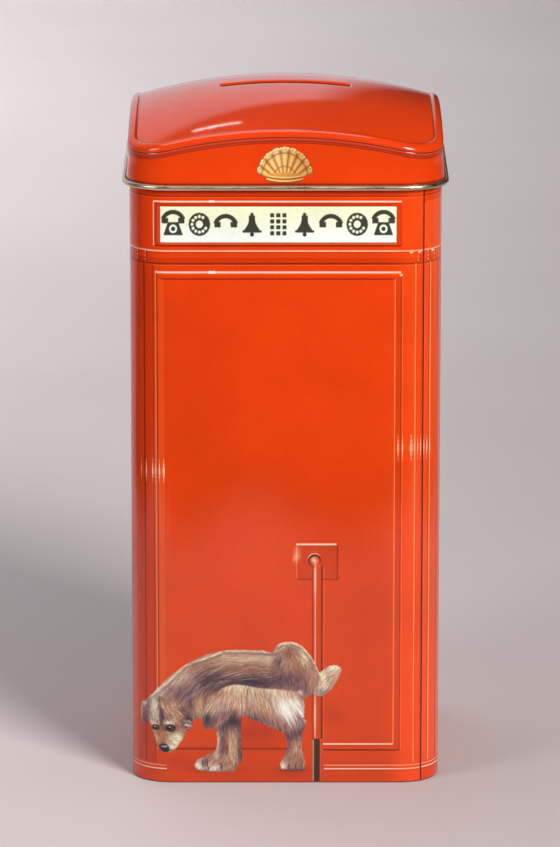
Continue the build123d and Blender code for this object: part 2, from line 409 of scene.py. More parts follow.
def front_bars():
    bars = Bars()
    belts(bars, -60, 60)  # past both ends of the front skin
    name_panel(bars, FRONT_LEFT, FRONT_RIGHT)
    main_frame(bars, FRONT_LEFT, FRONT_RIGHT - 0.3)
    bars.level(MAIN_INNER_LOW, 0.34, 9.1, FRONT_RIGHT - 0.3, LIT, 0.95)
    bars.level(MAIN_LOW, 0.34, 9.1, 27.5, DARK, 0.85)
    bars.level(MAIN_LOW + 0.3, 0.6, -28.5, 4.5, BROWN_RED, 0.75)
    base_lines(bars, 9.3, 60)
    base_lines(bars, -60, -28.6, 0.95)
    # left corner: a shaded hollow between two lit edges
    bars.add(-37.3, -33.9, CORNER_LOW, BAND_DARK, (198, 56, 14), 0.6)
    bars.add(-33.7, -31.6, CORNER_LOW, BAND_DARK, (196, 50, 10), 0.5)
    # the uprights there, and at the right corner as far as the seam
    for place, thick, colour, strength in (
        (-33.95, 0.4, DARK, 0.7), (-31.45, 0.26, DARK, 0.5), (-37.4, 0.3, SOFT_LIT, 0.35),
        (-39.3, 0.5, BROWN_RED, 0.5), (30.85, 0.32, (255, 170, 110), 0.75),
        (31.15, 0.2, BROWN_RED, 0.45), (32.45, 0.3, BROWN_RED, 0.35),
    ):
        bars.upright(place, thick, CORNER_LOW, BAND_DARK, colour, strength)
    bars.upright(-40.6, 0.4, CORNER_LOW, CORNER_HIGH, SOFT_LIT, 0.5)
    bars.beads((-33.65, -36.2, -38.9, 31.4))
    for place in (29.75, 31.9):
        bars.add(place - 0.4, place + 0.4, 130.65, 131.1, WHITE, 0.9)
    bars.glints(83.4, 3.2, ((26.8, 0.5, 0.7), (27.85, 0.36, 0.9), (29.95, 0.75, 1.0),
                            (30.8, 0.34, 0.9), (31.6, 0.3, 0.7), (32.35, 0.34, 0.95)))
    bars.glints(77.6, 2.9, ((-35.1, 0.3, 0.7), (-33.55, 0.34, 0.95), (-31.75, 0.4, 0.8),
                            (-31.0, 0.3, 0.7), (-30.05, 0.4, 0.8), (-29.0, 0.5, 0.95)))
    bars.add(-18.0, -16.8, FRAME_HIGH - 0.2, FRAME_HIGH + 0.3, WHITE, 0.9)
    bars.add(-18.2, -16.6, MAIN_HIGH - 0.3, MAIN_HIGH + 0.35, WHITE, 0.9)
    bars.add(27.05, 27.65, 125.2, 125.75, (255, 226, 190), 0.9)
    # cable plate, cable and the cut-off end of a second one
    bars.add(2.9, 12.4, 50.9, 59.5, BROWN_RED, 0.18)
    bars.level(59.6, 0.42, 2.6, 12.2, (255, 214, 190), 0.95)
    bars.level(59.25, 0.2, 2.9, 12.2, (190, 60, 70), 0.5)
    bars.upright(2.7, 0.24, 51.0, 59.4, SOFT_LIT, 0.55)
    bars.upright(12.45, 0.34, 50.8, 59.5, BROWN_RED, 0.85)
    bars.level(50.9, 0.4, 2.7, 12.5, BROWN_RED, 0.7)
    bars.add(6.35, 8.95, 11.1, 54.6, BROWN_RED, 0.6)
    bars.add(6.75, 8.5, 11.1, 54.8, RED, 0.85)
    bars.upright(7.15, 0.34, 11.2, 55.0, (244, 150, 130), 0.9)
    bars.upright(8.75, 0.3, 11.1, 54.2, DARK, 0.8)
    bars.upright(9.2, 0.2, 11.1, 54.0, SOFT_LIT, 0.35)
    bars.add(6.45, 8.3, 0.4, 11.1, (82, 34, 22))
    bars.upright(6.7, 0.32, 0.4, 10.9, (226, 170, 140), 0.8)
    bars.upright(8.45, 0.2, 0.4, 11.0, (206, 96, 62), 0.6)
    return bars


def front_details_and_painted_light(area):
    # painted shade: the tall panel darker toward its foot, as less light falls there
    painted_shade = smooth(125, 12, area.Z) * smooth(28.5, 24, area.A) * smooth(-37, -31, area.A)
    area.rgb[..., 0] -= 20 * painted_shade
    # painted shade and painted light: the left corner a touch darker and the right corner lighter,
    # as the light falls from the right
    area.spot(-36, 66, 4.5, 400, BROWN_RED, 0.05)
    area.spot(31, 66, 5, 400, (255, 96, 30), 0.3)
    area.spot(2.7, 57.0, 0.35, 1.6, (255, 206, 180), 0.85)
    area.spot(7.1, 51.5, 0.34, 4.5, WHITE, 0.45)
    area.spot(7.1, 17.0, 0.34, 3.6, WHITE, 0.5)
    area.spot(11.5, 17.0, 2.6, 2.4, BROWN_RED, 0.3)
    # the dog's shade on the ground line and behind its legs
    area.spot(-17.5, 3.6, 5.5, 1.0, DARK, 0.45)
    area.spot(1.8, 3.2, 4.0, 0.9, DARK, 0.45)
    area.spot(-26.0, 5.4, 4.5, 1.4, BROWN_RED, 0.35)
    area.spot(-7.0, 12.6, 5.0, 2.6, BROWN_RED, 0.5)


def side_bars():
    bars = Bars()
    left, right = SEAM - 20, 4 * PITCH
    belts(bars, left, right)
    base_lines(bars, left, right)
    # right corner, from the seam on
    # painted light: the corner lighter, as the light falls on it from the right
    bars.add(33.8, 41.0, CORNER_LOW, CORNER_HIGH, (255, 112, 62), 0.35)
    bars.add(33.1, 33.7, CORNER_LOW, 142.5, (236, 104, 78), 0.5)
    bars.upright(34.7, 0.24, CORNER_LOW, BAND_DARK, DARK, 0.5)
    bars.upright(35.1, 0.34, CORNER_LOW, BAND_DARK, (255, 160, 100), 0.85)
    bars.upright(38.1, 0.5, CORNER_LOW, BAND_DARK, BROWN_RED, 0.45)
    bars.upright(40.0, 0.4, CORNER_LOW, CORNER_HIGH, (255, 160, 110), 0.8)
    bars.beads((34.2, 36.4, 38.8))
    bars.add(35.4, 36.2, 130.65, 131.1, WHITE, 0.9)
    bars.glints(83.2, 3.0, ((33.3, 0.3, 0.8), (34.2, 0.34, 0.9), (35.2, 0.34, 0.7)))
    for side in (1, 2, 3):
        middle = side * PITCH
        name_panel(bars, middle - PANEL_HALF, middle + PANEL_HALF)
        main_frame(bars, middle - PANEL_HALF, middle + PANEL_HALF)
        bars.level(MAIN_INNER_LOW, 0.34, middle - PANEL_HALF, middle + PANEL_HALF, LIT, 0.9)
        bars.level(MAIN_LOW, 0.34, middle - 28.6, middle + 28.6, DARK, 0.8)
        glazing(bars, middle)
        if side < 3:
            pilaster(bars, middle)
    return bars


def finish_sides(area):
    for side in (1, 2, 3):
        glass_sheen(area, side * PITCH)


def disc(area, a, z, radius, edge=0.12):
    return np.clip((radius - np.hypot(area.A - a, area.Z - z)) / edge + 0.5, 0, 1)


def slab(area, a, z, half_a, half_z, radius=0.0, edge=0.12):
    """How much of each point a rounded rectangle covers."""
    over_a = np.abs(area.A - a) - half_a + radius
    over_z = np.abs(area.Z - z) - half_z + radius
    outside = np.hypot(np.maximum(over_a, 0), np.maximum(over_z, 0))
    inside = np.minimum(np.maximum(over_a, over_z), 0)
    return np.clip((radius - outside - inside) / edge + 0.5, 0, 1)


def handset(area, a, z):
    """A telephone handset, lying, with its cups down."""
    bow = np.hypot(area.A - a, area.Z - (z - 1.6))
    grip = np.clip(0.55 - np.abs(bow - 3.2) + 0.1, 0, 0.12) / 0.12 * (area.Z > z - 0.2)
    cups = slab(area, a - 2.35, z - 0.7, 0.95, 0.75, 0.3)
    cups = np.maximum(cups, slab(area, a + 2.35, z - 0.7, 0.95, 0.75, 0.3))
    return np.maximum(grip, cups)


def telephone(area, a, z):
    """A desk telephone: a handset over a body with a round dial."""
    body_half = 1.5 + 1.2 * np.clip((z + 0.6 - area.Z) / 3.2, 0, 1)
    body = np.clip((body_half - np.abs(area.A - a)) / 0.12 + 0.5, 0, 1)
    body *= np.clip(np.minimum(z + 0.6 - area.Z, area.Z - (z - 2.9)) / 0.12 + 0.5, 0, 1)
    dial = disc(area, a, z - 1.2, 1.15) - disc(area, a, z - 1.2, 0.62)
    return np.maximum(handset(area, a, z + 1.7), body - np.clip(dial, 0, 1))


def dial(area, a, z):
    """A telephone dial: a ring with ten finger holes."""
    ring = disc(area, a, z, 3.1) - disc(area, a, z, 1.0)
    for k in range(10):
        angle = radians(60 + 30 * k)
        ring -= disc(area, a + 2.1 * cos(angle), z + 2.1 * sin(angle), 0.42)
    return np.clip(ring, 0, 1)


def bell(area, a, z):
    """A bell with its clapper."""
    half = 0.9 + 1.5 * smooth(0, 1, (z + 2.0 - area.Z) / 4.2) ** 2
    dome = np.clip((half - np.abs(area.A - a)) / 0.12 + 0.5, 0, 1)
    dome *= np.clip(np.minimum(z + 2.3 - area.Z, area.Z - (z - 1.9)) / 0.12 + 0.5, 0, 1)
    rim = slab(area, a, z - 1.9, 2.8, 0.32, 0.3)
    clapper, crown = disc(area, a, z - 2.7, 0.6), disc(area, a, z + 2.6, 0.5)
    return np.maximum.reduce([dome, rim, clapper, crown])


def keypad(area, a, z):
    """Twelve keys."""
    keys = np.zeros(area.A.shape)
    for column in (-1, 0, 1):
        for row in (-1.5, -0.5, 0.5, 1.5):
            keys = np.maximum(keys, slab(area, a + 1.75 * column, z + 1.6 * row, 0.6, 0.55, 0.2))
    return keys


ICON_WIDTH, ICON_HEIGHT = 0.82, 0.9  # the pictures' scale on the panel


def print_name_panel(name, left, right):
    """Pictures of telephone things stand where a name would be."""
    across = np.arange(left, right + 0.01, 0.15)
    up = np.arange(PANEL_LOW, PANEL_HIGH + 0.01, 0.15)
    area = Print(across, up, (236, 240, 206))
    area.cover[:] = 1
    area.lay((240, 250, 244), 1 - smooth(PANEL_LOW, PANEL_HIGH - 1, area.Z))
    icons = (telephone, dial, handset, bell, keypad, bell, handset, dial, telephone)
    spacing = (right - left) / len(icons)
    centre_z = (PANEL_LOW + PANEL_HIGH) / 2
    for k, icon in enumerate(icons):
        centre = left + spacing * (k + 0.5)
        drop = 0.6 if icon is handset else 0.0
        scaled = Print(across, up, WHITE)
        scaled.A = centre + (scaled.A - centre) / ICON_WIDTH
        scaled.Z = centre_z + (scaled.Z - centre_z) / ICON_HEIGHT
        area.lay((52, 54, 42), icon(scaled, centre, centre_z + drop) * 0.95)
    rim = slab(area, (left + right) / 2, centre_z, (right - left) / 2 - 0.15, 4.25, 0.1)
    area.lay((150, 130, 84), (1 - rim) * 0.4)
    return patch(name, area)


GOLD, PALE_GOLD, DEEP_GOLD = (214, 150, 66), (250, 216, 150), (126, 62, 22)


def print_emblem(name, middle):
    """A gilt scallop on a banded foot, in low relief, on the lid's wall."""
    half_width, tall, ribs, spread = 6.9, 7.9, 9, radians(68)
    hinge, foot_low = 148.6, 147.7
    across = np.arange(middle - 7.4, middle + 7.41, 0.13)
    up = np.arange(147.4, 157.0, 0.13)
    area = Print(across, up, GOLD)
    a, z = area.A - middle, area.Z
    angle = np.arctan2(a, z - hinge + 1.2)
    reach = np.hypot(a / half_width, (z - hinge) / tall)
    rib = np.abs(np.cos(angle / spread * ribs * pi / 2))
    fan = smooth(0.02, -0.02, reach - 0.94 - 0.05 * rib) * (z > hinge + 0.4)
    fan *= smooth(0.03, -0.03, np.abs(angle) - spread)
    foot = smooth(0.06, -0.06, np.abs(a) - 4.5 + 0.10 * (z - 147.6) ** 2) * (z < hinge + 1.5)
    bow = foot_low + 0.03 * a**2
    foot *= smooth(-0.06, 0.06, z - bow)
    height = fan * (0.10 + 0.14 * rib + 0.05 * smooth(0.75, 0.9, reach))
    area.lay(PALE_GOLD, fan * smooth(0.45, 1.0, rib) * 0.75)
    area.lay(DEEP_GOLD, fan * smooth(0.35, 0.0, rib) * 0.85)
    area.lay(DEEP_GOLD, fan * smooth(0.05, 0.0, np.abs(reach - 0.80)) * 0.6)
    area.lay(DEEP_GOLD, fan * smooth(0.04, 0.0, np.abs(reach - 0.40)) * 0.5)
    for k in range(2 * ribs + 1):
        bead_angle = spread * (k / ribs - 1)
        a0 = half_width * 0.93 * sin(bead_angle)
        z0 = hinge + tall * 0.93 * cos(bead_angle)
        bead = np.hypot(a - a0, z - z0)
        height = np.maximum(height, 0.30 * np.sqrt(np.clip(1 - (bead / 0.42) ** 2, 0, 1)))
        area.lay(PALE_GOLD, smooth(0.42, 0.3, bead))
        area.spot(middle + a0 + 0.14, z0 - 0.16, 0.2, 0.2, DEEP_GOLD, 0.6)
        area.spot(middle + a0 - 0.1, z0 + 0.1, 0.16, 0.16, WHITE, 0.8)
    height = np.maximum(height, foot * 0.18)
    area.lay(GOLD, foot)
    for level, colour in ((1.35, PALE_GOLD), (0.95, DEEP_GOLD), (0.55, PALE_GOLD), (0.2, DEEP_GOLD)):
        band = smooth(0.22, 0.05, np.abs(z - bow - level)) * foot
        area.lay(colour, band * 0.85)
        height += band * (0.05 if colour == PALE_GOLD else -0.05)
    shape = np.maximum(np.maximum(fan, foot), (height > 0.02).astype(float))
    area.spot(middle - 1.4, 153.6, 2.2, 2.0, WHITE, 0.22)
    area.lay(DEEP_GOLD, smooth(-2.0, 6.0, a) * 0.3)
    area.cover = shape
    outset = skirt_outset(area.Z) + 0.05 + height * smooth(0.5, 1.0, shape)
    return patch(name, area, outset, 0.4)


# ---------------------------------------------------------------- the dog

def closed_curve(points, steps=8):
    """A smooth closed line through a few points (Catmull-Rom)."""
    p = np.array(points, float)
    before, after, beyond = np.roll(p, 1, 0), np.roll(p, -1, 0), np.roll(p, -2, 0)
    t = (np.arange(steps) / steps)[None, :, None]
    p0, p1, p2, p3 = (q[:, None] for q in (before, p, after, beyond))
    line = 0.5 * (
        2 * p1
        + (p2 - p0) * t
        + (2 * p0 - 5 * p1 + 4 * p2 - p3) * t**2
        + (3 * p1 - 3 * p2 + p3 - p0) * t**3
    )
    return line.reshape(-1, 2)


def inside(area, points):
    """1 inside a smooth closed line and 0 outside."""
    line = closed_curve(points)
    crossed = np.zeros(area.A.shape, bool)
    for (a0, z0), (a1, z1) in zip(line, np.roll(line, -1, 0)):
        if abs(z1 - z0) > 1e-9:
            at = a0 + (area.Z - z0) * (a1 - a0) / (z1 - z0)
            crossed ^= ((area.Z < z0) != (area.Z < z1)) & (area.A < at)
    return crossed.astype(float)


def blurred(values, passes):
    """Softened by neighbours, a step further with each pass."""
    for _ in range(passes):
        padded = np.pad(values, 1, mode="edge")
        across = (padded[1:-1, :-2] + 2 * padded[1:-1, 1:-1] + padded[1:-1, 2:]) / 4
        padded = np.pad(across, 1, mode="edge")
        values = (padded[:-2, 1:-1] + 2 * padded[1:-1, 1:-1] + padded[2:, 1:-1]) / 4
    return values


def flow_at(guides, a, z):
    """The fur's direction at points: that of the nearest guide strokes."""
    total = np.zeros((*a.shape, 2))
    for guide in guides:
        line = np.array(guide, float)
        for start, end in zip(line[:-1], line[1:]):
            middle, run = (start + end) / 2, end - start
            near = 1 / (0.4 + (a - middle[0]) ** 2 + (z - middle[1]) ** 2) ** 1.5
            total += near[..., None] * run / np.hypot(*run)
    return total / np.maximum(np.hypot(total[..., 0], total[..., 1]), 1e-9)[..., None]


def brush(area, rng, roots, guides, length, colour, opacity, curl=0.25):
    """Lays one batch of tapering hairs along the flow, in one colour or one for each hair."""
    pitch_a, pitch_z = area.across[1] - area.across[0], area.up[1] - area.up[0]
    step = pitch_a * 0.8
    place = roots.copy()
    colour = np.broadcast_to(colour, (len(roots), 3))
    lengths = length * rng.uniform(0.5, 1.3, len(roots))
    swerve = rng.normal(0, curl, len(roots))
    weight = np.zeros(area.A.shape)
    tint = np.zeros(area.rgb.shape)
    rows, columns = area.A.shape
    travelled = 0.0
    while travelled < length * 1.3:
        share = travelled / lengths
        force = np.where(share < 1, np.clip(1.2 * (1 - share), 0, 1), 0) * opacity
        column = (place[:, 0] - area.across[0]) / pitch_a
        row = (place[:, 1] - area.up[0]) / pitch_z
        c0, r0 = np.floor(column).astype(int), np.floor(row).astype(int)
        for dr in (0, 1):
            for dc in (0, 1):
                part = force * (1 - np.abs(column - c0 - dc)) * (1 - np.abs(row - r0 - dr))
                ok = (r0 + dr >= 0) & (r0 + dr < rows) & (c0 + dc >= 0) & (c0 + dc < columns)
                spots = (r0[ok] + dr, c0[ok] + dc)
                np.add.at(weight, spots, part[ok])
                np.add.at(tint, spots, part[ok, None] * colour[ok])
        direction = flow_at(guides, place[:, 0], place[:, 1])
        turn = swerve * share
        x, y = direction[:, 0], direction[:, 1]
        place[:, 0] += step * (x * np.cos(turn) - y * np.sin(turn))
        place[:, 1] += step * (x * np.sin(turn) + y * np.cos(turn))
        travelled += step
    laid = 1 - np.exp(-weight)
    mixed = tint / np.maximum(weight, 1e-9)[..., None]
    area.rgb += laid[..., None] * (mixed - area.rgb)
    area.cover = np.maximum(area.cover, laid)


BATCHES = 12  # a coat's hairs are laid in this many goes, each a little lighter


def fur_mass(area, rng, outline, ground, spots, guides, hairs, length):
    """One part of the coat: an underpainting inside an outline, then hairs over it."""
    shape = inside(area, outline)
    under = np.zeros(area.rgb.shape) + np.array(ground, float)
    for a, z, reach_a, reach_z, colour, strength in spots:
        cover = np.exp(-(((area.A - a) / reach_a) ** 2) - ((area.Z - z) / reach_z) ** 2)
        under += (cover * strength)[..., None] * (np.array(colour, float) - under)
    soft = blurred(shape, 1)
    area.rgb += soft[..., None] * (under - area.rgb)
    area.cover = np.maximum(area.cover, soft)
    rows, columns = np.nonzero(shape)
    for batch in range(BATCHES):
        pick = rng.integers(0, len(rows), hairs // BATCHES)
        at = (rows[pick], columns[pick])
        roots = np.stack([area.A[at], area.Z[at]], 1)
        shade = rng.normal(1.0, 0.24, (len(pick), 1)) + 0.1 * batch / BATCHES
        warm = rng.normal(0, 9, (len(pick), 1)) * np.array([1.0, 0.1, -0.8])
        tones = np.clip(under[at] * shade + warm, 20, 252)
        brush(area, rng, roots, guides, length, tones, 0.55)


CREAM_FUR, PALE_FUR = (232, 214, 178), (246, 238, 222)
TAN_FUR, BROWN_FUR = (192, 150, 122), (152, 108, 92)
ROSE_FUR, VIOLET_FUR = (176, 130, 116), (104, 82, 98)
DEEP_FUR, OCHRE_FUR = (70, 54, 70), (208, 168, 120)


def paint_legs(area, rng):
    # raised hind foot
    fur_mass(
        area, rng,
        [(6, 25.5), (9.4, 28.7), (11.6, 29.7), (13.5, 28.7), (12.6, 25.9), (10.8, 23.2),
         (8.7, 21.7), (6.4, 22.6)],
        (206, 180, 154),
        [(12.2, 26, 1.4, 2, (196, 146, 130), 0.8), (9, 26.2, 1.4, 2.4, CREAM_FUR, 0.8),
         (11.4, 29, 1.6, 0.7, PALE_FUR, 0.8), (10.4, 25.2, 0.5, 2.6, (150, 118, 108), 0.6),
         (9.8, 22.4, 2.6, 1, (150, 122, 124), 0.85), (6.3, 24, 1.2, 1.4, BROWN_FUR, 0.7)],
        [((7.6, 22.7), (13.1, 29.2))], 420, 1.6,
    )
    # standing hind leg
    fur_mass(
        area, rng,
        [(-1.4, 14.6), (-0.4, 12.4), (0.6, 9.6), (-0.2, 7.2), (-1.3, 4.8), (-0.6, 3.3), (2.2, 3.1),
         (4.6, 3.2), (4.7, 6.2), (4.1, 8.6), (4.2, 12.5), (4.8, 16)],
        ROSE_FUR,
        [(1.6, 13.4, 3.2, 2.2, DEEP_FUR, 0.95), (0.6, 9.6, 1.2, 2.4, VIOLET_FUR, 0.7),
         (2.4, 8.4, 1.2, 2, TAN_FUR, 0.7), (-0.6, 4.4, 0.9, 1.2, PALE_FUR, 0.9),
         (3.6, 5.4, 1.2, 2.2, BROWN_FUR, 0.8), (2, 3.2, 2.2, 0.6, VIOLET_FUR, 0.7)],
        [((1.5, 15), (1.8, 9)), ((1.8, 9), (0.6, 3.5))], 900, 1.5,
    )
    # front legs, the far one first
    fur_mass(
        area, rng,
        [(-14.6, 17.5), (-14.4, 12), (-14, 7), (-14.6, 3.6), (-12.6, 2.9), (-11.2, 4.6),
         (-10.3, 6.2), (-10.6, 9), (-10.6, 14), (-10.9, 17.5)],
        TAN_FUR,
        [(-10.8, 9, 0.9, 5.5, VIOLET_FUR, 0.9), (-13.3, 9, 1, 4.5, (214, 176, 146), 0.7),
         (-12.6, 16.2, 4, 2.4, DEEP_FUR, 1), (-12.2, 4, 1.6, 1.2, BROWN_FUR, 0.7)],
        [((-12.4, 17), (-12.2, 3))], 900, 1.7,
    )
    fur_mass(
        area, rng,
        [(-18.2, 17), (-16.6, 12.6), (-16.8, 8.6), (-19.4, 6.9), (-21.4, 5.8), (-21.7, 3.9),
         (-20.4, 3.2), (-16.6, 2.7), (-13.2, 3), (-12.9, 5), (-14, 7.2), (-14.4, 12),
         (-14, 17)],
        ROSE_FUR,
        [(-16.2, 15.8, 3.2, 2.6, DEEP_FUR, 0.95), (-16.4, 10, 0.5, 4, CREAM_FUR, 0.8),
         (-14.9, 9.5, 0.8, 4, VIOLET_FUR, 0.75), (-20.8, 4.4, 1.2, 1.4, PALE_FUR, 0.95),
         (-17.3, 3.9, 1.9, 1, PALE_FUR, 0.75), (-19.3, 5, 0.35, 1.3, VIOLET_FUR, 0.85),
         (-14.6, 6.2, 1.4, 1.1, OCHRE_FUR, 0.6), (-14.2, 3.6, 1, 0.9, TAN_FUR, 0.6)],
        [((-16, 16), (-15.8, 8)), ((-15.8, 8), (-20.5, 4)), ((-14.5, 7), (-16.5, 3))],
        1000, 1.5,
    )


def paint_back(area, rng):
    """The back, the neck and the rump."""
    fur_mass(
        area, rng,
        [(-34, 19.6), (-32.4, 22), (-28.2, 26.5), (-23.6, 30), (-19, 32.3), (-14.3, 33.3),
         (-8.7, 33.4), (-3.4, 32.8), (-2.5, 34.2), (-1, 35.2), (1.2, 35.5), (3.4, 34.8),
         (5.5, 32.7), (7.2, 30), (8.1, 27.6), (7.4, 24.6), (5.4, 21.6), (0, 20.5), (-9, 19),
         (-13.5, 17), (-16.5, 14), (-19.4, 13.6), (-20.6, 16.2), (-24, 15), (-30, 16)],
        ROSE_FUR,
        [(-8, 31, 14, 1.5, CREAM_FUR, 0.65), (-26, 27, 4, 2.6, (200, 186, 164), 0.75),
         (-31, 22.6, 2.4, 2.6, (206, 202, 186), 0.85), (-18, 29.6, 5, 2.2, BROWN_FUR, 0.55),
         (-7, 28.4, 9, 1.8, BROWN_FUR, 0.75), (-17.6, 25.4, 4, 3, DEEP_FUR, 0.8),
         (-8, 25.4, 8, 1.7, DEEP_FUR, 0.95), (-0.5, 26.2, 3.4, 1.6, VIOLET_FUR, 0.85),
         (-24.6, 22.6, 3.4, 1.8, VIOLET_FUR, 0.8), (-22.6, 19.5, 1.6, 3.6, VIOLET_FUR, 0.8),
         (-20.9, 19, 1.2, 2.6, OCHRE_FUR, 0.9), (-26, 20.3, 2.6, 1.4, BROWN_FUR, 0.8),
         (-18.6, 16.2, 1.8, 2.4, DEEP_FUR, 0.85), (1.4, 32, 2.4, 1.8, BROWN_FUR, 0.8),
         (-1.6, 30.6, 1.2, 1.4, VIOLET_FUR, 0.85), (4.3, 32, 1.2, 2.2, CREAM_FUR, 0.9),
         (0.6, 34.8, 2.4, 0.5, CREAM_FUR, 0.7), (3.2, 29, 1.6, 2, (164, 118, 92), 0.8),
         (6.4, 27.6, 1, 3, TAN_FUR, 0.8), (3.4, 26.4, 2, 1.8, (128, 94, 90), 0.8),
         (4.3, 23.9, 1.4, 1.4, VIOLET_FUR, 0.8), (3.6, 22.6, 0.8, 0.7, PALE_FUR, 0.9)],
        [((-2, 32), (-9, 32.6), (-19, 31.2), (-27.5, 26), (-32, 20)),
         ((-2, 27), (-12, 28.6), (-21, 26), (-26, 20.5)), ((-18, 21.5), (-19, 15)),
         ((-22, 20.5), (-20.6, 16.4)), ((1, 35), (4.6, 33.2), (6.8, 28.6), (6.6, 24)),
         ((1.5, 31.5), (4.4, 23.5)), ((0, 34.6), (-2.4, 32.6)), ((-1, 32.2), (-2.8, 28.4))],
        5200, 2.2,
    )
    # hairs that catch the light along the back and the rump, each with a darker one under it
    back = ((-2.2, 32.7), (-8.7, 33.2), (-14.3, 33.1), (-23.6, 29.7), (-32.8, 21.2))
    rump = ((-2.5, 34), (-1, 35), (1.2, 35.3), (3.4, 34.6), (5.5, 32.5), (7.2, 29.8), (8, 27.4))
    for start, end in (*zip(back[:-1], back[1:]), *zip(rump[:-1], rump[1:])):
        count = int(9 * np.hypot(end[0] - start[0], end[1] - start[1]))
        share = rng.uniform(0, 1, (count, 1))
        roots = np.array(start) * (1 - share) + np.array(end) * share
        roots += rng.normal(0, 0.16, (count, 2))
        colour = np.clip(np.array(CREAM_FUR) + rng.normal(6, 12, (count, 1)), 0, 252)
        brush(area, rng, roots, (back, rump), 1.5, colour, 0.5, curl=0.12)
        brush(area, rng, roots - (0, 0.75), (back, rump), 1.9, (140, 122, 122), 0.25, curl=0.12)


def paint_thigh(area, rng):
    """The long fringe over the thigh. Gives back its longest hairs, as roots and guides."""
    fringe = [((-18.2, 21), (-19.4, 19)), ((-15, 23), (-18, 19)),
              ((-13, 24), (-14.6, 18.4)), ((-10, 24.2), (-9.6, 17.6)),
              ((-6.5, 23.6), (-4.4, 16.6)), ((-2.5, 22.8), (0.4, 14.6)), ((1, 22.4), (3.4, 14.5)),
              ((3.6, 21.5), (4.9, 16.5))]
    fur_mass(
        area, rng,
        [(-18.6, 20.4), (-16, 23.2), (-12, 24.7), (-6, 23.8), (0, 23.3), (3.6, 22.4),
         (4.7, 19.6), (3.9, 15.6), (1.6, 13.6), (-1.2, 13.2), (-5.9, 15.1), (-10.4, 16.9),
         (-13.6, 17.6), (-16.6, 17.4)],
        ROSE_FUR,
        [(-12, 24.2, 4.2, 0.9, CREAM_FUR, 0.9), (-4, 23.3, 6, 0.8, CREAM_FUR, 0.75),
         (-14.5, 20.8, 3, 1.6, TAN_FUR, 0.75), (-9.5, 20.6, 2.6, 1.8, (206, 170, 142), 0.6),
         (-5.5, 19.6, 1.8, 2.4, OCHRE_FUR, 0.55), (-1, 19.6, 2.2, 2.6, PALE_FUR, 0.9),
         (2.2, 20.6, 1.3, 1.5, PALE_FUR, 0.85), (3.4, 17, 1.2, 2.6, VIOLET_FUR, 0.7),
         (-8, 16.2, 5, 1.4, VIOLET_FUR, 0.85), (-14.5, 17.8, 3.2, 1.2, VIOLET_FUR, 0.85),
         (0.2, 14.2, 3.4, 1.1, VIOLET_FUR, 0.6), (-17.2, 19, 1, 1.6, TAN_FUR, 0.6)],
        fringe, 3000, 2.6,
    )
    for batch in range(3):
        roots = np.stack([rng.uniform(-19, 4.6, 70), np.zeros(70)], 1)
        roots[:, 1] = 23.0 - 0.018 * (roots[:, 0] + 7) ** 2 + rng.uniform(-3.2, 0.6, 70)
        pale = np.array(PALE_FUR) * rng.uniform(0.82, 1, (70, 1))
        brush(area, rng, roots, fringe, 3.2, pale, 0.5, curl=0.2)
    long_roots = np.stack([rng.uniform(-1.6, 3.6, 46), rng.uniform(17.5, 21, 46)], 1)
    swept = [((-1, 19), (1.8, 12.6)), ((2, 19.5), (4.9, 14.6))]
    brush(area, rng, long_roots, swept, 5.2, PALE_FUR, 0.75, curl=0.15)
    return long_roots, swept


